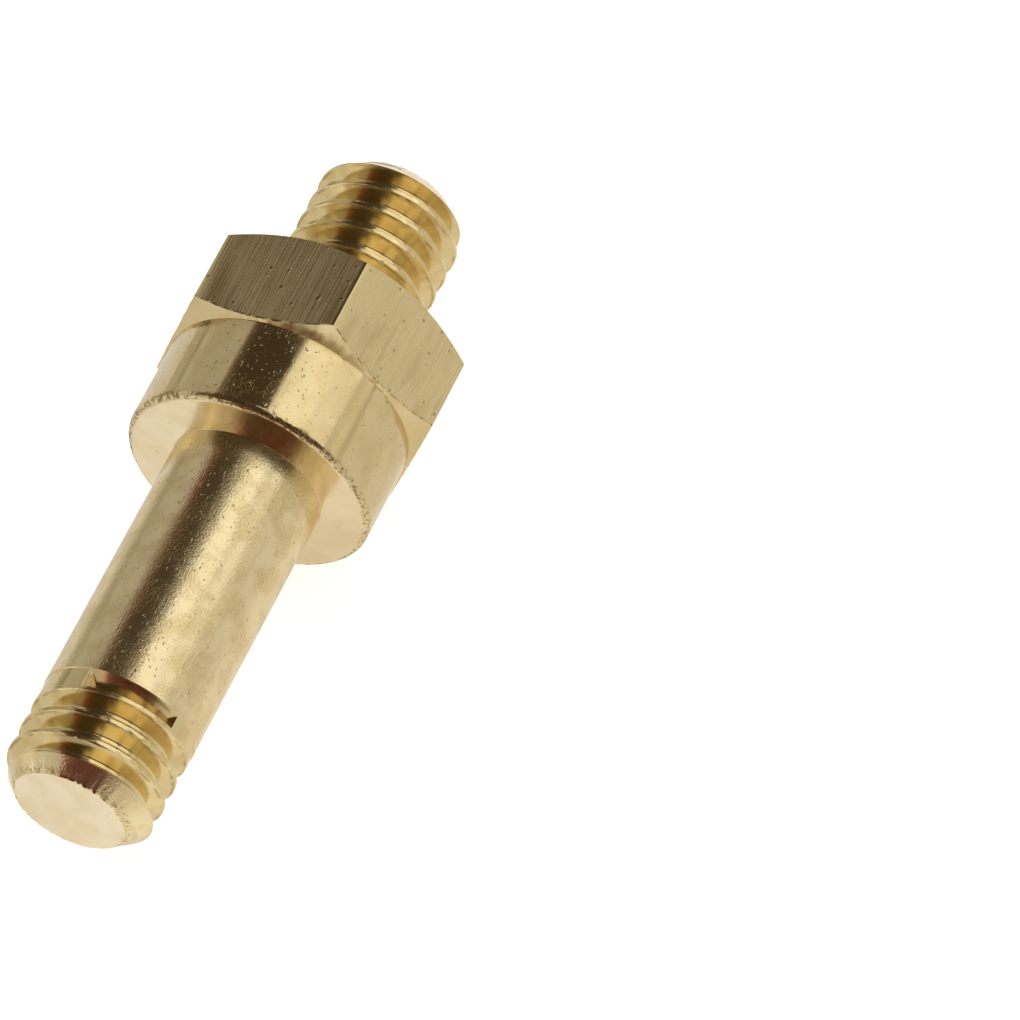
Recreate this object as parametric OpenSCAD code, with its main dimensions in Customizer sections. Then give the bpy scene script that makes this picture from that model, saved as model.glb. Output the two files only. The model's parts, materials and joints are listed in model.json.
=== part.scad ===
// Battery terminal bolt, turned in one piece from hexagon brass bar.
// A short screw goes into the battery's side terminal, a hexagon takes the wrench, and a round collar
// carries a plain stud with a second screw at its tip. It lies on a table as it comes to rest: on the
// collar's edge and on the lower edge of one of the hexagon's flats, with the stud clear of the table.
// Along the bolt's own axis 0 is the collar's face, minus is towards the stud's tip and plus is towards
// the battery. All sizes are in millimetres.

/* [Hexagon and collar] */
// Width of the hexagon across its flats, five eighths of an inch
hex_af = 15.875; // [13:0.005:20]
// Diameter of the turned collar
collar_d = 15.5; // [12:0.05:15.8]
// Length of the collar's round side, from its face to the cone under the hexagon
collar_len = 6.0; // [3:0.1:10]
// Radius that breaks the collar's edge at its face
collar_edge = 0.45; // [0.1:0.05:1]
// Distance from the collar's face to the hexagon's end face
head_len = 12.5; // [10:0.1:20]
// Slope of the cone under the hexagon, from a plane square to the axis
under_slope = 26.5; // [15:0.5:40]
// Slope of the chamfer on the hexagon's end
end_slope = 33; // [15:0.5:40]
// How far inside the flats that chamfer starts on the end face
end_inset = 0.27; // [0.1:0.01:1.5]

/* [Stud] */
// Diameter of the plain stud
stud_d = 9.5; // [8:0.05:11]
// Length of the stud, from the collar's face to its tip
stud_len = 24.5; // [18:0.1:40]
// Length of the stud's screw, from the tip
stud_screw_len = 6.7; // [4:0.1:14]
// Slope of the shoulder where the plain stud drops to its screw, from a plane square to the axis
shoulder_slope = 45; // [30:1:60]

/* [Screws] */
// Outer diameter of both screws, three eighths of an inch less its running allowance
screw_d = 9.45; // [8:0.01:11]
// Pitch of both screws, sixteen turns to the inch
pitch = 1.5875; // [1.25:0.0125:2]
// Depth of the thread's groove, as a share of the pitch
groove_share = 0.58; // [0.4:0.01:0.6]
// Width left on the thread's crest, as a share of the pitch
crest_share = 0.15; // [0.08:0.01:0.2]
// Flank angle of the thread, from a plane square to the axis
flank = 30; // [25:0.5:32]
// Length of the battery screw beyond the hexagon's end face
battery_screw_len = 9.9; // [6:0.1:20]
// Depth of the 45 degree chamfer on the tip of each screw
tip_chamfer = 1.27; // [0.8:0.01:1.8]
// Turn of the stud's screw about the axis, in degrees
stud_screw_turn = 187; // [0:1:360]
// Turn of the battery screw about the axis, in degrees
battery_screw_turn = 11; // [0:1:360]

/* [Hidden] */

brass = "#d9b56a";
// Flat facets around one turn of a thread
turn_steps = 36;
// How far a cutting shape reaches past what it cuts
past = 1;

screw_r = screw_d / 2;
groove_depth = groove_share * pitch;
crest_w = crest_share * pitch;
flank_run = groove_depth * tan(flank);
root_r = screw_r - groove_depth;
tip_r = screw_r - tip_chamfer;
stud_r = stud_d / 2;
plain_len = stud_len - stud_screw_len;
collar_r = collar_d / 2;
battery_end = head_len + battery_screw_len;

// The hexagon's corner radius, and where the cone underneath meets the middle of its flats
flat_r = hex_af / 2;
corner_r = flat_r / cos(30);
under_flat = collar_len + (flat_r - collar_r) * tan(under_slope);

// The rest pose. The table touches the collar's rounded edge and the middle of one flat's lower edge, which
// is a little further out, so the axis rises towards the battery. That flat faces straight down.
rest_run = under_flat - collar_edge;
rest_rise = flat_r - collar_r + collar_edge;
tilt = max(0, atan2(rest_rise, rest_run) - asin(collar_edge / norm([rest_run, rest_rise])));
lift = (collar_r - collar_edge) * cos(tilt) - collar_edge * sin(tilt) + collar_edge;
roll = 30;
// The middle of the tilted bolt's length, which is set over the origin
middle = (battery_end - stud_len) * cos(tilt) / 2;

// One closed screw along +Z whose grooves run on past both ends, to be cut to length afterwards.
// Four edges, root, crest, crest, root, wind around the axis, and each turn's last edge meets the next
// turn's first one.
module endless_screw(from, to, turn) {
    turns = ceil((to - from) / pitch) + 2;
    last = turns * turn_steps;
    root_w = pitch - crest_w - 2 * flank_run;
    edges = [[root_r, 0], [screw_r, flank_run], [screw_r, flank_run + crest_w], [root_r, pitch - root_w]];
    start = from - pitch * (1 + turn / 360);
    function at(step, edge) = edge == 4 ? at(step + turn_steps, 0) : 4 * step + edge;
    points = [
        for (step = [0:last], e = edges)
            let (a = turn + 360 * step / turn_steps)
            [e[0] * cos(a), e[0] * sin(a), start + pitch * (a / 360) + e[1]]
    ];
    bottom = len(points);
    top = bottom + 1;
    middle_points = [[0, 0, start + pitch * turn / 360], [0, 0, points[4 * last + 3][2]]];
    sides = [
        for (step = [0:last - 1], edge = [0:3])
            if (edge < 3 || step + 1 + turn_steps <= last)
            each [
                [at(step, edge), at(step, edge + 1), at(step + 1, edge + 1)],
                [at(step, edge), at(step + 1, edge + 1), at(step + 1, edge)]
            ]
    ];
    // Each end is closed by a fan from a point on the axis to the winding edge and to the step at its seam
    first_loop = [for (step = [0:turn_steps]) at(step, 0), at(0, 3), at(0, 2), at(0, 1)];
    last_loop = [
        for (step = [last - turn_steps:last]) at(step, 3),
        at(last, 2), at(last, 1), at(last, 0)
    ];
    function fan(loop, tip, forward) = [
        for (i = [0:len(loop) - 1])
            let (p = loop[i], q = loop[(i + 1) % len(loop)])
            forward ? [tip, p, q] : [tip, q, p]
    ];
    polyhedron(
        concat(points, middle_points),
        concat(sides, fan(first_loop, bottom, true), fan(last_loop, top, false)),
        convexity = 10
    );
}

// A screw cut to length, with its tip turned down to a 45 degree chamfer. It stands on z = 0, tip up.
module screw(length, turn) {
    intersection() {
        endless_screw(-past, length + past, turn);
        rotate_extrude()
            polygon([
                [0, 0],
                [screw_r + past, 0],
                [screw_r + past, length - tip_chamfer - past],
                [tip_r, length],
                [0, length]
            ]);
    }
}

// The plain stud, which drops to its screw at a sloped shoulder. The slope runs on inside the screw's root.
module stud() {
    core_r = root_r - past;
    core_s = -plain_len - (stud_r - core_r) * tan(shoulder_slope);
    rotate_extrude()
        polygon([
            [0, past],
            [stud_r, past],
            [stud_r, -plain_len],
            [core_r, core_s],
            [0, core_s]
        ]);
}

// The collar, with the edge of its face rounded
module collar() {
    face_r = collar_r - collar_edge;
    rotate_extrude() {
        polygon([
            [0, 0],
            [face_r, 0],
            [collar_r, collar_edge],
            [collar_r, collar_len + past],
            [0, collar_len + past]
        ]);
        intersection() {
            translate([face_r, collar_edge])
                circle(collar_edge, $fn = 96);
            translate([face_r, 0])
                square(collar_edge);
        }
    }
}

// The hexagon, turned to a cone underneath and chamfered at its end
module hexagon() {
    end_r = flat_r - end_inset;
    outside = corner_r + past;
    intersection() {
        translate([0, 0, collar_len])
            cylinder(r = corner_r, h = head_len - collar_len, $fn = 6);
        rotate_extrude()
            polygon([
                [0, collar_len],
                [collar_r, collar_len],
                [outside, collar_len + (outside - collar_r) * tan(under_slope)],
                [outside, head_len - (outside - end_r) * tan(end_slope)],
                [end_r, head_len],
                [0, head_len]
            ]);
    }
}

module terminal_bolt() {
    color(brass)
        translate([-middle, 0, lift])
            rotate([0, 90 - tilt, 0])
                rotate([0, 0, roll]) {
                    collar();
                    hexagon();
                    stud();
                    translate([0, 0, head_len - past])
                        screw(battery_screw_len + past, battery_screw_turn);
                    translate([0, 0, -plain_len])
                        rotate([180, 0, 0])
                            screw(stud_screw_len, stud_screw_turn);
                }
}

terminal_bolt();
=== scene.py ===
import json
import math

import bpy
from mathutils import Matrix, Vector


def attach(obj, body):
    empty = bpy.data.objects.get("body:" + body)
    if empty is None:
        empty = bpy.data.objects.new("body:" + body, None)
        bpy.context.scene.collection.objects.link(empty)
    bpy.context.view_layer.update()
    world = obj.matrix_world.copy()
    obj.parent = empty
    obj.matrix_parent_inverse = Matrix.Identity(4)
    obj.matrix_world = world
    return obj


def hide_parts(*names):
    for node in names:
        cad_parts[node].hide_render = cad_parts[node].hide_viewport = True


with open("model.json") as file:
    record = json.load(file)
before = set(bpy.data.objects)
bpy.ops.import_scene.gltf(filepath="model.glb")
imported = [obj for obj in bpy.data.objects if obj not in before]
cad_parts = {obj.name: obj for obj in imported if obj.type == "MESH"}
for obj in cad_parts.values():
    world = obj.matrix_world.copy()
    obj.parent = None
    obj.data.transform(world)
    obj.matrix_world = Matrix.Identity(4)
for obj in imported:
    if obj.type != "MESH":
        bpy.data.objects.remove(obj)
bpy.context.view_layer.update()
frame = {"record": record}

# Sizes in millimetres along the bolt's own axis: 0 is the collar's face, minus is towards the stud's tip
# and plus is towards the battery. The bolt is modelled upright about Z at this scale, then laid in place.
MM = 0.001
mounts = {mount["name"]: mount for mount in frame["record"]["mounts"]}
stud_r = mounts["stud_shank"]["dims"]["r_mm"]
plain_len = mounts["stud_shank"]["dims"]["length_mm"]
screw_r = mounts["battery_screw"]["dims"]["r_mm"]
battery_screw_len = mounts["battery_screw"]["dims"]["length_mm"]
stud_screw_len = mounts["stud_screw"]["dims"]["length_mm"]
stud_len = plain_len + stud_screw_len

flat_r = 15.875 / 2
corner_r = flat_r / math.cos(math.radians(30))
collar_r = 15.5 / 2
collar_len = 6.0
collar_edge = 0.45
head_len = 12.5
battery_end = head_len + battery_screw_len
under_slope = math.radians(26.5)
end_slope = math.radians(33)
end_inset = 0.27
inner_fillet = 0.03
tip_chamfer = 1.27
tip_r = screw_r - tip_chamfer
# Width of the strips beside rims and edges that take their nicks and keep the faces behind them true
rim_margin = 0.12

pitch = 1.5875
groove_depth = 0.58 * pitch
crest_w = 0.15 * pitch
flank = math.radians(30)
crest_round = 0.03
root_round = 0.12
root_r = screw_r - groove_depth
core_r = root_r - 1.0
# Radius and width of the metal that the die left beside the first groove of the stud's screw
land_r = screw_r - 0.03
land_w = 2.0
# How far around the axis the first groove takes to reach its depth, in degrees
groove_fade = 7
# Where a thread's crest stands on the side of the hexagon's top corner
battery_crest = 15.07
stud_crest = -19.01

# How far burrs and knocks push the points of the rims and edges about
collar_burr = 0.022
flat_burr = 0.035
crest_burr = 0.012
tip_burr = 0.05
# How much of the hexagon's corners is broken
corner_break = 0.09

# Steps around the axis, how far a cutting shape reaches past what it cuts, how near a point counts as on a
# surface, and how near points are merged or cut through
round_steps = 240
thread_steps = 120
past = 1.0
near_surface = 0.002
weld_distance = 0.0005
bisect_limit = 0.00001

# The bolt's place: its axis runs through the stud and square to the collar's face, and a flat faces down
axis = -Vector(mounts["collar_seat"]["axis"]).normalized()
stud_middle = Vector(mounts["stud_shank"]["pos_m"])
collar_middle = stud_middle + axis * axis.dot(Vector(mounts["collar_seat"]["pos_m"]) - stud_middle)
tilt = math.asin(axis.z)
turn = Matrix.Rotation(math.pi / 2 - tilt, 4, "Y") @ Matrix.Rotation(math.radians(30), 4, "Z")


def arc(middle, radius, start, end, points):
    """Points along an arc in the (radius, height) plane, from one angle to another in degrees."""
    angles = [math.radians(start + (end - start) * i / (points - 1)) for i in range(points)]
    return [(middle[0] + radius * math.cos(a), middle[1] + radius * math.sin(a)) for a in angles]


def draw_outline(name, outline):
    """A chain of edges in the XZ plane, drawn from one point by extruding it along the outline."""
    bpy.ops.object.select_all(action="DESELECT")
    bpy.ops.mesh.primitive_plane_add(size=1)
    piece = bpy.context.object
    piece.name = name
    bpy.ops.object.mode_set(mode="EDIT")
    bpy.ops.mesh.select_all(action="SELECT")
    bpy.ops.mesh.merge(type="CENTER")
    bpy.ops.transform.translate(value=(outline[0][0], 0, outline[0][1]))
    for here, there in zip(outline, outline[1:]):
        step = (there[0] - here[0], 0, there[1] - here[1])
        bpy.ops.mesh.extrude_region_move(TRANSFORM_OT_translate={"value": step})
    bpy.ops.object.mode_set(mode="OBJECT")
    return piece


def weld(piece):
    """Merge points that lie on each other and turn all faces outwards."""
    bpy.context.view_layer.objects.active = piece
    bpy.ops.object.mode_set(mode="EDIT")
    bpy.ops.mesh.select_all(action="SELECT")
    bpy.ops.mesh.remove_doubles(threshold=weld_distance)
    bpy.ops.mesh.normals_make_consistent(inside=False)
    bpy.ops.object.mode_set(mode="OBJECT")


def turned(name, outline):
    """A solid turned about Z from an outline whose two ends lie on the axis."""
    piece = draw_outline(name, outline)
    bpy.ops.object.mode_set(mode="EDIT")
    bpy.ops.mesh.select_all(action="SELECT")
    bpy.ops.mesh.spin(steps=round_steps, angle=math.tau, center=(0, 0, 0), axis=(0, 0, 1))
    bpy.ops.object.mode_set(mode="OBJECT")
    weld(piece)
    return piece


def combine(piece, tool, operation):
    """Unite a piece with a tool, cut it by the tool or keep what both share. The tool is used up."""
    bpy.ops.object.select_all(action="DESELECT")
    bpy.context.view_layer.objects.active = piece
    modifier = piece.modifiers.new(operation, "BOOLEAN")
    modifier.operation = operation
    modifier.solver = "EXACT"
    modifier.object = tool
    bpy.ops.object.modifier_apply(modifier=modifier.name)
    bpy.data.objects.remove(tool)


def select_points(piece, test):
    """Enter edit mode with only those points selected whose place passes the test."""
    bpy.ops.object.select_all(action="DESELECT")
    bpy.context.view_layer.objects.active = piece
    bpy.ops.object.mode_set(mode="EDIT")
    bpy.ops.mesh.select_mode(type="VERT")
    bpy.ops.mesh.select_all(action="DESELECT")
    bpy.ops.object.mode_set(mode="OBJECT")
    for point in piece.data.vertices:
        point.select = test(point.co)
    bpy.ops.object.mode_set(mode="EDIT")


def cut_off(piece, height, keep_above):
    """Cut a piece square to its axis and close the cut."""
    bpy.context.view_layer.objects.active = piece
    bpy.ops.object.mode_set(mode="EDIT")
    bpy.ops.mesh.select_all(action="SELECT")
    bpy.ops.mesh.bisect(
        plane_co=(0, 0, height),
        plane_no=(0, 0, 1),
        use_fill=True,
        clear_inner=keep_above,
        clear_outer=not keep_above,
        threshold=bisect_limit,
    )
    bpy.ops.object.mode_set(mode="OBJECT")


def blank():
    """The bar after turning: stud, collar, the cone under the hexagon and the hexagon's chamfered end."""
    outside = corner_r + past
    end_r = flat_r - end_inset
    core_end = -plain_len - (stud_r - core_r)
    outline = [(0, core_end), (core_r, core_end), (stud_r, -plain_len)]
    outline += arc((stud_r + inner_fillet, -inner_fillet), inner_fillet, 180, 90, 5)
    outline.append((collar_r - collar_edge - rim_margin, 0))
    outline += arc((collar_r - collar_edge, collar_edge), collar_edge, -90, 0, 9)
    outline += [
        (collar_r, collar_edge + rim_margin),
        (collar_r, collar_len),
        (outside, collar_len + (outside - collar_r) * math.tan(under_slope)),
        (outside, head_len - (outside - end_r) * math.tan(end_slope)),
        (end_r, head_len),
        (0, head_len),
    ]
    return turned("bolt_body", outline)


def mill_flats(piece):
    """Cut the six flats, the first one between the corners at 0 and 60 degrees, and break their corners."""
    for side in range(6):
        angle = math.radians(30 + 60 * side)
        out = Vector((math.cos(angle), math.sin(angle), 0))
        bpy.context.view_layer.objects.active = piece
        bpy.ops.object.mode_set(mode="EDIT")
        bpy.ops.mesh.select_all(action="SELECT")
        bpy.ops.mesh.bisect(
            plane_co=out * flat_r,
            plane_no=out,
            use_fill=True,
            clear_outer=True,
            threshold=bisect_limit,
        )
        bpy.ops.object.mode_set(mode="OBJECT")
    weld(piece)
    select_points(piece, lambda p: math.hypot(p.x, p.y) > corner_r - near_surface)
    bpy.ops.mesh.select_mode(type="EDGE")
    bpy.ops.mesh.bevel(offset=corner_break, segments=2, affect="EDGES")
    bpy.ops.mesh.select_mode(type="VERT")
    bpy.ops.object.mode_set(mode="OBJECT")


def thread_outline():
    """One pitch of the thread's section from crest to crest, with its corners broken."""
    side = 90 - math.degrees(flank)
    bend = math.tan(math.radians(side / 2))
    crest_z = crest_w / 2 - crest_round * bend
    root_z = crest_w / 2 + groove_depth * math.tan(flank) + root_round * bend
    falling = [(screw_r, 0)]
    falling += arc((screw_r - crest_round, crest_z), crest_round, 0, side, 3)
    falling.append((screw_r - rim_margin, crest_w / 2 + rim_margin * math.tan(flank)))
    falling += arc((root_r + root_round, root_z), root_round, 180 + side, 180, 5)
    return falling + [(r, pitch - z) for r, z in reversed(falling)]


def screw(name, bottom, top, crest):
    """A right-hand screw from one height to another, with a crest at the given height on the -X side."""
    turns = math.ceil((top - bottom) / pitch) + 3
    start = crest - pitch / 2
    start -= pitch * (math.floor((start - bottom) / pitch) + 2)
    outline = [(r, start + z) for r, z in thread_outline()]
    piece = draw_outline(name, outline)
    modifier = piece.modifiers.new("winding", "SCREW")
    modifier.angle = math.tau
    modifier.screw_offset = pitch
    modifier.iterations = turns
    modifier.steps = thread_steps
    modifier.render_steps = thread_steps
    modifier.axis = "Z"
    bpy.ops.object.modifier_apply(modifier=modifier.name)
    weld(piece)
    cut_off(piece, bottom, True)
    cut_off(piece, top, False)
    weld(piece)
    return piece


def screw_with_tip(name, root, tip, crest):
    """A screw from its root to its tip, which is turned down to a 45 degree chamfer."""
    up = 1 if tip > root else -1
    piece = screw(name, min(root, tip + up * past), max(root, tip + up * past), crest)
    outside = screw_r + past
    outline = [
        (0, root - up * past),
        (outside, root - up * past),
        (outside, tip - up * (outside - tip_r)),
        (tip_r + rim_margin, tip - up * rim_margin),
        (tip_r, tip),
        (tip_r - rim_margin, tip),
        (0, tip),
    ]
    combine(piece, turned(name + "_outline", outline), "INTERSECT")
    return piece


def lay_in_place(piece):
    """Scale a finished piece to metres and lay it where the bolt lies."""
    bpy.ops.object.select_all(action="DESELECT")
    piece.select_set(True)
    bpy.context.view_layer.objects.active = piece
    piece.matrix_world = Matrix.Translation(collar_middle) @ turn @ Matrix.Scale(MM, 4)
    bpy.ops.object.transform_apply(location=True, rotation=True, scale=True)


def land(name, start, length, fade=0):
    """Solid metal up to the thread's crest, wound along it from one angle over another, in degrees.
    The die left the first groove uncut there. The metal sinks into the groove over the last degrees."""
    s = stud_crest + pitch * start / 360
    outline = [(core_r, s), (land_r, s), (land_r, s + land_w), (core_r, s + land_w), (core_r, s)]
    piece = draw_outline(name, outline)
    modifier = piece.modifiers.new("winding", "SCREW")
    modifier.angle = math.radians(length)
    modifier.screw_offset = pitch * length / 360
    modifier.steps = math.ceil(thread_steps * length / 360)
    modifier.render_steps = modifier.steps
    modifier.axis = "Z"
    step = length / modifier.steps
    bpy.ops.object.modifier_apply(modifier=modifier.name)
    weld(piece)
    bpy.ops.object.mode_set(mode="EDIT")
    bpy.ops.mesh.select_all(action="DESELECT")
    bpy.ops.mesh.select_non_manifold()
    bpy.ops.mesh.fill_holes(sides=0)
    bpy.ops.object.mode_set(mode="OBJECT")
    low_r = root_r - 0.1
    for ring in range(math.floor(fade / step) + 1):
        angle = math.radians(length - ring * step)
        way = Vector((math.cos(angle), math.sin(angle), 0))
        select_points(piece, lambda p: p.dot(way) > land_r - near_surface)
        shrink = (low_r + (land_r - low_r) * ring * step / max(fade, step)) / land_r
        bpy.ops.transform.resize(value=(shrink, shrink, 1), center_override=(0, 0, 0))
        bpy.ops.object.mode_set(mode="OBJECT")
    select_points(piece, lambda p: True)
    bpy.ops.transform.rotate(value=-math.radians(180 + start), orient_axis="Z", center_override=(0, 0, 0))
    bpy.ops.object.mode_set(mode="OBJECT")
    weld(piece)
    return piece


def roughen(piece, amount, seed, test):
    """Push points about at random, as burrs and knocks do."""
    select_points(piece, test)
    bpy.ops.transform.vertex_random(offset=amount, uniform=0.0, normal=0.4, seed=seed)
    bpy.ops.object.mode_set(mode="OBJECT")


def sort_points(piece):
    """Number the points by how far they lie from a place off to one side. A union leaves them in an order
    that differs from run to run, and random pushes go by that order."""
    bpy.context.scene.cursor.location = (61.7, 37.3, 83.9)
    select_points(piece, lambda p: True)
    bpy.ops.mesh.sort_elements(type="CURSOR_DISTANCE", elements={"VERT"})
    bpy.ops.object.mode_set(mode="OBJECT")
    bpy.context.scene.cursor.location = (0, 0, 0)


def on_flat(p):
    """Whether a point of the upright bolt lies on one of the hexagon's six flats."""
    angle = math.atan2(p.y, p.x) - math.pi / 6
    angle -= math.pi / 3 * round(angle / (math.pi / 3))
    return abs(math.hypot(p.x, p.y) * math.cos(angle) - flat_r) < near_surface


def on_lower_edge(p):
    """Whether a point lies where a flat meets the cone under the hexagon."""
    cone = collar_len + (math.hypot(p.x, p.y) - collar_r) * math.tan(under_slope)
    return abs(p.z - cone) < 0.004 and on_flat(p)


def on_crest(p):
    """Whether a point lies on the crest of a thread."""
    out = math.hypot(p.x, p.y)
    threaded = p.z > head_len + 0.2 or p.z < -plain_len - 0.2
    return threaded and screw_r - 0.005 < out < screw_r + 0.005


def on_tip(p, radius):
    """Whether a point lies on the end face of either tip, at a radius from the axis."""
    at_end = abs(p.z + stud_len) < near_surface or abs(p.z - battery_end) < near_surface
    return at_end and abs(math.hypot(p.x, p.y) - radius) < 2 * near_surface


def on_collar_rim(p):
    """Whether a point lies on the rounded edge of the collar's face."""
    return 0.01 < p.z < collar_edge and math.hypot(p.x, p.y) > collar_r - collar_edge


def frame_flats(piece):
    """Inset the flats, so that what happens to their edges leaves their middle flat."""
    bpy.ops.object.select_all(action="DESELECT")
    bpy.context.view_layer.objects.active = piece
    bpy.ops.object.mode_set(mode="EDIT")
    bpy.ops.mesh.select_mode(type="FACE")
    bpy.ops.mesh.select_all(action="DESELECT")
    bpy.ops.object.mode_set(mode="OBJECT")
    for face in piece.data.polygons:
        face.select = face.area > 20 and abs(face.normal.z) < 0.01
    bpy.ops.object.mode_set(mode="EDIT")
    bpy.ops.mesh.inset(thickness=rim_margin, use_individual=True)
    bpy.ops.object.mode_set(mode="OBJECT")


bolt = blank()
roughen(bolt, collar_burr, 3, on_collar_rim)
mill_flats(bolt)
frame_flats(bolt)
roughen(bolt, flat_burr, 11, on_lower_edge)
combine(bolt, screw_with_tip("battery_screw", head_len - 0.5, battery_end, battery_crest), "UNION")
combine(bolt, screw_with_tip("stud_screw", -plain_len, -stud_len, stud_crest), "UNION")
combine(bolt, land("left_land", -118, 83 + groove_fade, groove_fade), "UNION")
combine(bolt, land("right_land", 37, 200), "UNION")
weld(bolt)
sort_points(bolt)
roughen(bolt, crest_burr, 5, on_crest)
roughen(bolt, tip_burr, 8, lambda p: on_tip(p, tip_r))
# The end faces keep their own shading inside their rims
select_points(bolt, lambda p: on_tip(p, tip_r - rim_margin))
bpy.ops.mesh.select_mode(type="EDGE")
bpy.ops.mesh.mark_sharp()
bpy.ops.mesh.select_mode(type="VERT")
bpy.ops.object.mode_set(mode="OBJECT")


def linear(hex_colour):
    """An sRGB hex value as linear red, green, blue and alpha."""
    channels = [int(hex_colour[i:i + 2], 16) / 255 for i in (1, 3, 5)]
    return [c / 12.92 if c <= 0.04045 else ((c + 0.055) / 1.055) ** 2.4 for c in channels] + [1]


# Settings that many nodes share
SMOOTH = {"interpolation_type": "SMOOTHSTEP"}
TIMES = {"operation": "MULTIPLY"}
PLUS = {"operation": "ADD"}
TIMES_PLUS = {"operation": "MULTIPLY_ADD"}
ANGLE = {"operation": "ARCTAN2"}
COLOURS = {"data_type": "RGBA", "out": 2}


def add_node(tree, kind, inputs=(), out=0, **settings):
    """Add a node with its settings, set or link its inputs, and give back one of its outputs."""
    node = tree.nodes.new("ShaderNode" + kind)
    for name, value in settings.items():
        setattr(node, name, value)
    pairs = inputs.items() if isinstance(inputs, dict) else enumerate(inputs)
    for socket, value in pairs:
        if isinstance(value, bpy.types.NodeSocket):
            tree.links.new(value, node.inputs[socket])
        else:
            node.inputs[socket].default_value = value
    return node.outputs[out] if node.outputs else None


def new_material(name):
    material = bpy.data.materials.new(name)
    material.use_nodes = True
    material.node_tree.nodes.clear()
    return material, material.node_tree


def bolt_place(tree):
    """Object coordinates turned to the bolt's own in millimetres: Z runs along the axis from the collar."""
    own = {
        "Vector": add_node(tree, "TexCoord", out="Object"),
        "Location": collar_middle,
        "Rotation": turn.to_euler(),
        "Scale": (MM, MM, MM),
    }
    return add_node(tree, "Mapping", own, vector_type="TEXTURE")


def from_axis(tree, place):
    """How far a place lies from the bolt's axis, in millimetres."""
    across = add_node(tree, "VectorMath", [place, (1, 1, 0)], **TIMES)
    return add_node(tree, "VectorMath", [across], "Value", operation="LENGTH")


def measured(tree, place, size, shift=0, lean=(0, 0, 0)):
    """Coordinates in which a pattern's features get the given size in millimetres each way."""
    own = {
        "Vector": place,
        "Location": [shift / v for v in size],
        "Rotation": [math.radians(v) for v in lean],
        "Scale": [1 / v for v in size],
    }
    return add_node(tree, "Mapping", own)


def grain(tree, place, size, detail=2.0, shift=0, lean=(0, 0, 0)):
    """Uneven clouds, or streaks where their size differs from one way to another."""
    cells = measured(tree, place, size, shift, lean)
    noise = {"Vector": cells, "Scale": 1.0, "Detail": detail, "Roughness": 0.55}
    return add_node(tree, "TexNoise", noise, "Fac")


def knocks(tree, place, size, radius, share, shift):
    """Small dents, one to a cell of the given size: 1 in their middle and 0 from their radius outwards,
    which is a share of the cell. Cells are left out at random."""
    cells = measured(tree, place, (size, size, size), shift)
    distance = add_node(tree, "TexVoronoi", {"Vector": cells, "Scale": 1.0}, "Distance")
    dent = add_node(tree, "MapRange", [distance, 0.0, radius, 1.0, 0.0], **SMOOTH)
    kind = add_node(tree, "SeparateColor", [distance.node.outputs["Color"]])
    chosen = add_node(tree, "Math", [kind, share], operation="LESS_THAN")
    return add_node(tree, "Math", [dent, chosen], **TIMES)


def fibres(tree, place, size, width, patch, shift):
    """Thin curled scratches along the middle level of a noise, kept to the patches that were rubbed."""
    level = grain(tree, place, (size, size, size), 0.0, shift, (20, 35, 0))
    line = add_node(tree, "Math", [level, 0.5, width], operation="COMPARE")
    return add_node(tree, "Math", [line, patch], **TIMES)


def finish(tree, tones, tints, roughness, relief):
    """A bare metal surface. Its tones are a share and two colours, its stains and painted shade are patterns
    with their strength and colour, and its relief is patterns with their height in millimetres."""
    share, first, second = tones
    colour = add_node(tree, "Mix", {0: share, 6: linear(first), 7: linear(second)}, **COLOURS)
    for pattern, strength, tint in tints:
        share = add_node(tree, "Math", [pattern, strength], **TIMES)
        colour = add_node(tree, "Mix", {0: share, 6: colour, 7: linear(tint)}, **COLOURS)
    height = 0.0
    for pattern, amount in relief:
        height = add_node(tree, "Math", [pattern, amount, height], **TIMES_PLUS)
    bump = add_node(tree, "Bump", {"Strength": 1.0, "Distance": MM, "Height": height})
    metal = {"Base Color": colour, "Metallic": 1.0, "Roughness": roughness, "Normal": bump}
    surface = add_node(tree, "BsdfPrincipled", metal)
    add_node(tree, "OutputMaterial", {"Surface": surface})


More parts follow.
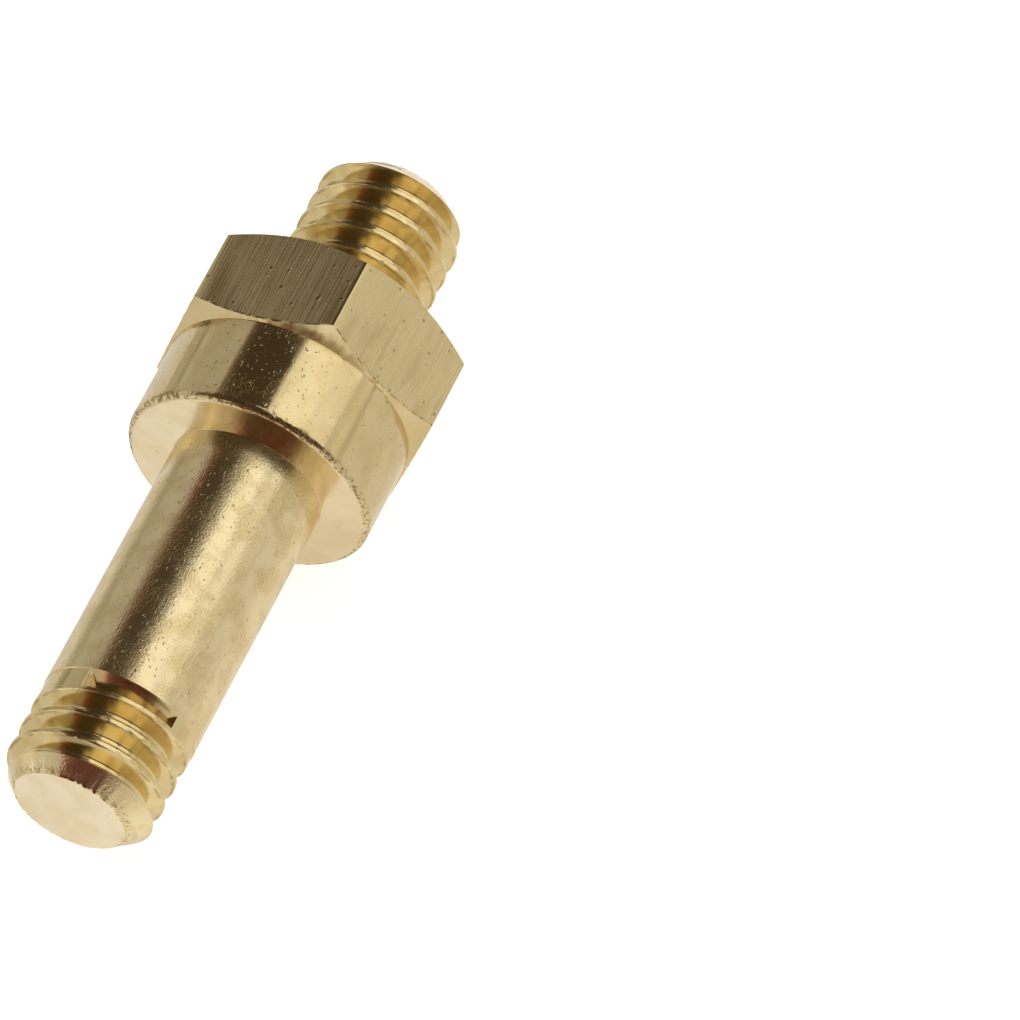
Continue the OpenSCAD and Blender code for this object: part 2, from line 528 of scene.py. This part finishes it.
def turned_brass():
    """Bright turned brass, knocked about in a bin of bolts: clouded, finely grained on the stud and smoother
    on the collar, with curled scratches, small knocks, and painted shade: a dark line in the nicks of the
    rims."""
    material, tree = new_material("turned_brass")
    place = bolt_place(tree)
    along = add_node(tree, "SeparateXYZ", [place], "Z")
    collar = add_node(tree, "MapRange", [along, -0.2, 0.2], **SMOOTH)
    stud = add_node(tree, "MapRange", [along, 0.2, -0.2], **SMOOTH)
    cloud = grain(tree, place, (1.6, 1.6, 1.6))
    rings = grain(tree, place, (4, 4, 0.12), 1.0, 3)
    # The stud's fine grain is drawn as coarse as it needs to show
    speckle = grain(tree, place, (0.12, 0.12, 0.12), 1.0, 5)
    marks = grain(tree, place, (0.22, 0.22, 0.3), 1.0, 9)
    dings = grain(tree, place, (0.45, 0.45, 0.45), 1.0, 12)

    # Scratches come in patches, and few of them are on the collar
    patches = add_node(tree, "MapRange", [cloud, 0.45, 0.6], **SMOOTH)
    share = add_node(tree, "MapRange", [along, 0.2, -0.2, 0.15, 1.0], **SMOOTH)
    rubbed = add_node(tree, "Math", [patches, share], **TIMES)
    long_fibres = fibres(tree, place, 0.7, 0.02, rubbed, 2)
    short_fibres = fibres(tree, place, 0.35, 0.035, rubbed, 7)
    scratches = add_node(tree, "Math", [long_fibres, short_fibres], operation="MAXIMUM")

    # Knocks lie on the collar's side and on the plain stud
    under_cone = add_node(tree, "MapRange", [along, collar_len, collar_len - 0.2], **SMOOTH)
    over_screw = add_node(tree, "MapRange", [along, -plain_len, 0.2 - plain_len], **SMOOTH)
    sides = add_node(tree, "Math", [under_cone, over_screw], **TIMES)
    dents = add_node(tree, "MapRange", [marks, 0.66, 0.76], **SMOOTH)
    dents = add_node(tree, "Math", [dents, sides], **TIMES)

    # Painted shade: a dark line along the rim of the collar and of the stud's tip, broken into patches,
    # where the metal is also rougher
    rim_top = add_node(tree, "MapRange", [along, collar_edge, 0.15], **SMOOTH)
    rim_bottom = add_node(tree, "MapRange", [along, 0.0, 0.05], **SMOOTH)
    rim = add_node(tree, "Math", [rim_top, rim_bottom], **TIMES)
    tip_rim = add_node(tree, "MapRange", [along, 0.45 - stud_len, 0.05 - stud_len], **SMOOTH)
    rims = add_node(tree, "Math", [rim, tip_rim], **PLUS)
    rim_patches = add_node(tree, "MapRange", [marks, 0.48, 0.6], **SMOOTH)
    rims = add_node(tree, "Math", [rims, rim_patches], **TIMES)

    tones = (add_node(tree, "MapRange", [cloud, 0.35, 0.7], **SMOOTH), "#f1deae", "#e8d09a")
    # The dark colour on the rims is painted shade
    tints = ((collar, 0.5, "#d9c18a"), (dents, 0.35, "#8d7040"), (rims, 0.65, "#6f4f26"))
    roughness = add_node(tree, "MapRange", [cloud, 0.3, 0.7, 0.19, 0.25], **SMOOTH)
    roughness = add_node(tree, "Math", [rims, 0.2, roughness], **TIMES_PLUS)
    roughness = add_node(tree, "Math", [collar, -0.08, roughness], **TIMES_PLUS)
    worn = add_node(tree, "Math", [speckle, 0.011], **TIMES)
    worn = add_node(tree, "Math", [dings, 0.005, worn], **TIMES_PLUS)
    relief = ((rings, 0.001), (cloud, 0.006), (worn, stud), (dents, -0.012), (scratches, -0.013))
    finish(tree, tones, tints, roughness, relief)
    return material


def faced_brass():
    """Ends and faces cut square on the lathe: a near mirror with fine rings about the axis."""
    material, tree = new_material("faced_brass")
    place = bolt_place(tree)
    ring = {"W": from_axis(tree, place), "Scale": 1 / 0.15, "Detail": 2.0}
    rings = add_node(tree, "TexNoise", ring, "Fac", noise_dimensions="1D")
    cloud = grain(tree, place, (2.0, 2.0, 2.0), 2.0, 1)
    dents = knocks(tree, place, 0.7, 0.17, 0.3, 6)
    tones = (add_node(tree, "MapRange", [cloud, 0.35, 0.7], **SMOOTH), "#f0e0bd", "#e8d6ad")
    tints = ((dents, 0.4, "#8d7040"),)
    roughness = add_node(tree, "MapRange", [cloud, 0.3, 0.7, 0.12, 0.18], **SMOOTH)
    relief = ((rings, 0.0012), (dents, -0.006))
    finish(tree, tones, tints, roughness, relief)
    return material


def drawn_brass():
    """The hexagon bar's own skin: dull and bright streaks along the draw, small pits, and a painted shadow
    line in patches along the lower edges of the flats."""
    material, tree = new_material("drawn_brass")
    place = bolt_place(tree)
    streaks = grain(tree, place, (0.1, 0.1, 6), 2.0, 2)
    cloud = grain(tree, place, (1.2, 1.2, 5.0), 3.0)
    pits = knocks(tree, place, 0.6, 0.26, 0.4, 3)
    dull = add_node(tree, "MapRange", [streaks, 0.35, 0.65], **SMOOTH)
    tarnish = add_node(tree, "MapRange", [cloud, 0.5, 0.7], **SMOOTH)

    # How far a place lies above the cone under the hexagon, along the axis
    slope = math.tan(under_slope)
    along = add_node(tree, "SeparateXYZ", [place], "Z")
    above_cone = add_node(tree, "Math", [from_axis(tree, place), -slope, along], **TIMES_PLUS)
    above_cone = add_node(tree, "Math", [above_cone, collar_r * slope - collar_len], **PLUS)
    # Painted shadow: a dark line in patches just above the lower edges of the flats
    edge = add_node(tree, "MapRange", [above_cone, 0.16, 0.04], **SMOOTH)
    patches = grain(tree, place, (0.4, 0.4, 0.4), 1.0, 8)
    patches = add_node(tree, "MapRange", [patches, 0.36, 0.56], **SMOOTH)
    painted_shade = add_node(tree, "Math", [edge, patches], **TIMES)

    # The last of these colours is the painted shadow line
    tints = ((tarnish, 0.3, "#b8986a"), (pits, 0.8, "#5e4a2a"), (painted_shade, 0.7, "#5f4522"))
    roughness = add_node(tree, "MapRange", [cloud, 0.3, 0.7, 0.14, 0.2], **SMOOTH)
    roughness = add_node(tree, "Math", [dull, 0.1, roughness], **TIMES_PLUS)
    relief = ((streaks, 0.006), (cloud, 0.004), (pits, -0.01))
    finish(tree, (dull, "#e6d19c", "#e8d4a2"), tints, roughness, relief)
    return material


def cut_brass():
    """Threads cut by a die: fine lines along the turns, and a little painted shade in patches beside the
    crests.
    """
    material, tree = new_material("thread_cut_brass")
    place = bolt_place(tree)
    lines = grain(tree, place, (5, 5, 0.16), 1.0, 4)
    cloud = grain(tree, place, (1.2, 1.2, 1.2))
    out = from_axis(tree, place)
    # Painted shade: a darker colour in patches on the flanks just under the crests
    over_flank = add_node(tree, "MapRange", [out, screw_r - 0.22, screw_r - 0.12], **SMOOTH)
    under_crest = add_node(tree, "MapRange", [out, screw_r - 0.04, screw_r - 0.08], **SMOOTH)
    beside_crest = add_node(tree, "Math", [over_flank, under_crest], **TIMES)
    patches = grain(tree, place, (1.2, 1.2, 1.2), 2.0, 8)
    patches = add_node(tree, "MapRange", [patches, 0.42, 0.62], **SMOOTH)
    painted_shade = add_node(tree, "Math", [beside_crest, patches], **TIMES)
    tones = (add_node(tree, "MapRange", [cloud, 0.35, 0.7], **SMOOTH), "#e8d39c", "#dec58a")
    roughness = add_node(tree, "MapRange", [cloud, 0.3, 0.7, 0.14, 0.2], **SMOOTH)
    relief = ((lines, 0.0003), (cloud, 0.002))
    finish(tree, tones, ((painted_shade, 0.45, "#6a4a24"),), roughness, relief)
    return material


TURNED, FACED, DRAWN, THREAD_CUT = range(4)


def zone(face):
    """Which of the four materials a face of the upright bolt takes."""
    s = face.center.z
    out = math.hypot(face.center.x, face.center.y)
    steep = abs(face.normal.z)
    if steep > 0.95:
        return FACED
    if collar_len < s < head_len and steep < 0.05 and out > collar_r:
        return DRAWN
    past_thread = s - (battery_end - tip_chamfer) if s > 0 else -stud_len + tip_chamfer - s
    if past_thread > 0 and abs(steep - math.sqrt(0.5)) < 0.01:
        return TURNED
    if s > head_len or s < -plain_len - 0.01:
        return THREAD_CUT
    return TURNED


bolt.data.materials.clear()
for material in (turned_brass(), faced_brass(), drawn_brass(), cut_brass()):
    bolt.data.materials.append(material)
for face in bolt.data.polygons:
    face.material_index = zone(face)

bpy.ops.object.select_all(action="DESELECT")
bpy.context.view_layer.objects.active = bolt
bolt.select_set(True)
bpy.ops.object.shade_smooth_by_angle(angle=math.radians(30))
lay_in_place(bolt)
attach(bolt, "root")
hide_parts("terminal_bolt")

# The floor is white paper. Its glow stands for the even light of a white studio that the lamps leave out.
# What the brass mirrors of it is brighter in a strip under the bolt.
bpy.ops.object.select_all(action="DESELECT")
bpy.ops.mesh.primitive_plane_add(size=6)
floor = bpy.context.object
floor.name = "floor"
material, tree = new_material("white_paper")
across = add_node(tree, "SeparateXYZ", [add_node(tree, "TexCoord", out="Object")], "Y")
from_right = add_node(tree, "MapRange", [across, -0.022, -0.004], **SMOOTH)
from_left = add_node(tree, "MapRange", [across, 0.02, 0.01], **SMOOTH)
near = add_node(tree, "Math", [from_right, from_left], **TIMES)
mirrored = add_node(tree, "Math", [near, 0.26, 0.2], **TIMES_PLUS)
glow_level = add_node(tree, "Math", [add_node(tree, "LightPath", out="Is Glossy Ray"), mirrored], **TIMES)
seen = add_node(tree, "LightPath", out="Is Camera Ray")
glow_level = add_node(tree, "Math", [seen, 0.76, glow_level], **TIMES_PLUS)
glow = add_node(tree, "Emission", {"Strength": glow_level})
paper = add_node(tree, "BsdfDiffuse", {"Color": linear("#f2f2f2")})
both = add_node(tree, "AddShader", [glow, paper])
add_node(tree, "OutputMaterial", {"Surface": both})
floor.data.materials.append(material)

# The room: pale near the horizon and dark and warm overhead. The camera sees it white.
world = bpy.data.worlds.new("studio")
bpy.context.scene.world = world
world.use_nodes = True
tree = world.node_tree
tree.nodes.clear()
way = add_node(tree, "TexCoord", out="Generated")
x = add_node(tree, "SeparateXYZ", [way], "X")
y = add_node(tree, "SeparateXYZ", [way], "Y")
z = add_node(tree, "SeparateXYZ", [way], "Z")
height = add_node(tree, "MapRange", [z, 0.03, 0.35], **SMOOTH)
room = add_node(tree, "Mix", {0: height, 6: linear("#bab5a8"), 7: linear("#443b2f")}, **COLOURS)

# A dark red curtain hangs behind the camera. Its angles are 0 where the stud points, and plus is left.
to_front = add_node(tree, "Math", [x, -1.0], **TIMES)
around = add_node(tree, "Math", [y, to_front], **ANGLE)
left_end = add_node(tree, "MapRange", [around, math.radians(28), math.radians(25)], **SMOOTH)
right_end = add_node(tree, "MapRange", [around, math.radians(-65), math.radians(-40)], **SMOOTH)
top_end = add_node(tree, "MapRange", [z, 0.75, 0.5], **SMOOTH)
bottom_end = add_node(tree, "MapRange", [z, 0.04, 0.14], **SMOOTH)
width = add_node(tree, "Math", [left_end, right_end], **TIMES)
drop = add_node(tree, "Math", [top_end, bottom_end], **TIMES)
curtain = add_node(tree, "Math", [width, drop], **TIMES)
red = add_node(tree, "MapRange", [around, math.radians(10), math.radians(20)], **SMOOTH)
cloth = add_node(tree, "Mix", {0: red, 6: linear("#5f3b36"), 7: linear("#7d3226")}, **COLOURS)
room = add_node(tree, "Mix", {0: curtain, 6: room, 7: cloth}, **COLOURS)

# A narrow red-brown strip runs along the bolt, up on the left, and is redder overhead than far behind.
over = add_node(tree, "Math", [y, z], **ANGLE)
right_edge = add_node(tree, "MapRange", [over, math.radians(25), math.radians(28)], **SMOOTH)
left_edge = add_node(tree, "MapRange", [over, math.radians(36), math.radians(33)], **SMOOTH)
behind = add_node(tree, "MapRange", [x, 0.0, 0.1], **SMOOTH)
strip = add_node(tree, "Math", [right_edge, behind], **TIMES)
strip = add_node(tree, "Math", [strip, left_edge], **TIMES)
overhead = add_node(tree, "MapRange", [x, 0.44, 0.38], **SMOOTH)
edging = add_node(tree, "Mix", {0: overhead, 6: linear("#584538"), 7: linear("#7c3c2c")}, **COLOURS)
room = add_node(tree, "Mix", {0: strip, 6: room, 7: edging}, **COLOURS)

seen = add_node(tree, "LightPath", out="Is Camera Ray")
room = add_node(tree, "Mix", {0: seen, 6: room, 7: linear("#ffffff")}, **COLOURS)
background = add_node(tree, "Background", {"Color": room, "Strength": 1.0})
add_node(tree, "OutputWorld", {"Surface": background})


def softbox(name, azimuth, elevation, distance, width, height, radiance):
    """A square soft light that faces the bolt. Azimuth runs from +X to +Y, in degrees."""
    a = math.radians(azimuth)
    e = math.radians(elevation)
    toward = Vector((math.cos(a) * math.cos(e), math.sin(a) * math.cos(e), math.sin(e)))
    bpy.ops.object.light_add(type="AREA", location=toward * distance)
    lamp = bpy.context.object
    lamp.name = name
    lamp.rotation_euler = toward.to_track_quat("Z", "Y").to_euler()
    lamp.data.shape = "RECTANGLE"
    lamp.data.size = width
    lamp.data.size_y = height
    lamp.data.energy = radiance * math.pi * width * height
    return lamp


def angular(distance, degrees):
    """The width that fills an angle at a distance."""
    return 2 * distance * math.tan(math.radians(degrees / 2))


def strip_light(name, start, end, radiance, forward=0.5, width=70):
    """A soft light that runs along the bolt, between two angles over it: 0 is overhead and plus is left.
    It stands forward, towards the battery, by a share of its distance."""
    distance = 0.5
    middle = math.radians((start + end) / 2)
    out = math.sqrt(1 - forward * forward)
    toward = Vector((forward, out * math.sin(middle), out * math.cos(middle)))
    along = (Vector((1, 0, 0)) - toward * forward).normalized()
    turned_way = Matrix((along, toward.cross(along), toward)).transposed()
    bpy.ops.object.light_add(type="AREA", location=toward * distance, rotation=turned_way.to_euler())
    lamp = bpy.context.object
    lamp.name = name
    lamp.data.shape = "RECTANGLE"
    lamp.data.size = angular(distance, width)
    lamp.data.size_y = angular(distance, out * (end - start))
    lamp.data.energy = radiance * math.pi * lamp.data.size * lamp.data.size_y


strip_light("right_softbox", -50, -16.5, 1.05)
strip_light("top_softbox", -16.5, -7, 0.6, 0.15, 20)
strip_light("right_upper_fill", -72, -50, 0.92)
strip_light("right_lower_fill", -86, -72, 0.36)
strip_light("left_fill", 31.5, 74, 0.4)
softbox("front_left_card", 126, 20, 0.5, angular(0.5, 62), angular(0.5, 44), 0.5)
# This one lights the paper evenly from high up and is kept out of the brass, as a lamp behind a diffuser is
floor_light = softbox("floor_light", 112, 65, 0.6, 0.3, 0.3, 3.3)
floor_light.visible_glossy = False

# The camera keeps the photograph's view of the bolt, so it is rolled against the floor
bpy.ops.object.camera_add(
    location=Vector((-205.751, -165.096, 294.341)) * MM,
    rotation=[math.radians(v) for v in (40.772, 10.327, -66.267)],
)
camera = bpy.context.object
camera.name = "camera"
camera.data.sensor_width = 36
camera.data.sensor_fit = "HORIZONTAL"
camera.data.lens = 235
camera.data.clip_start = 0.01
bpy.context.scene.camera = camera
bpy.context.scene.view_settings.view_transform = "Standard"
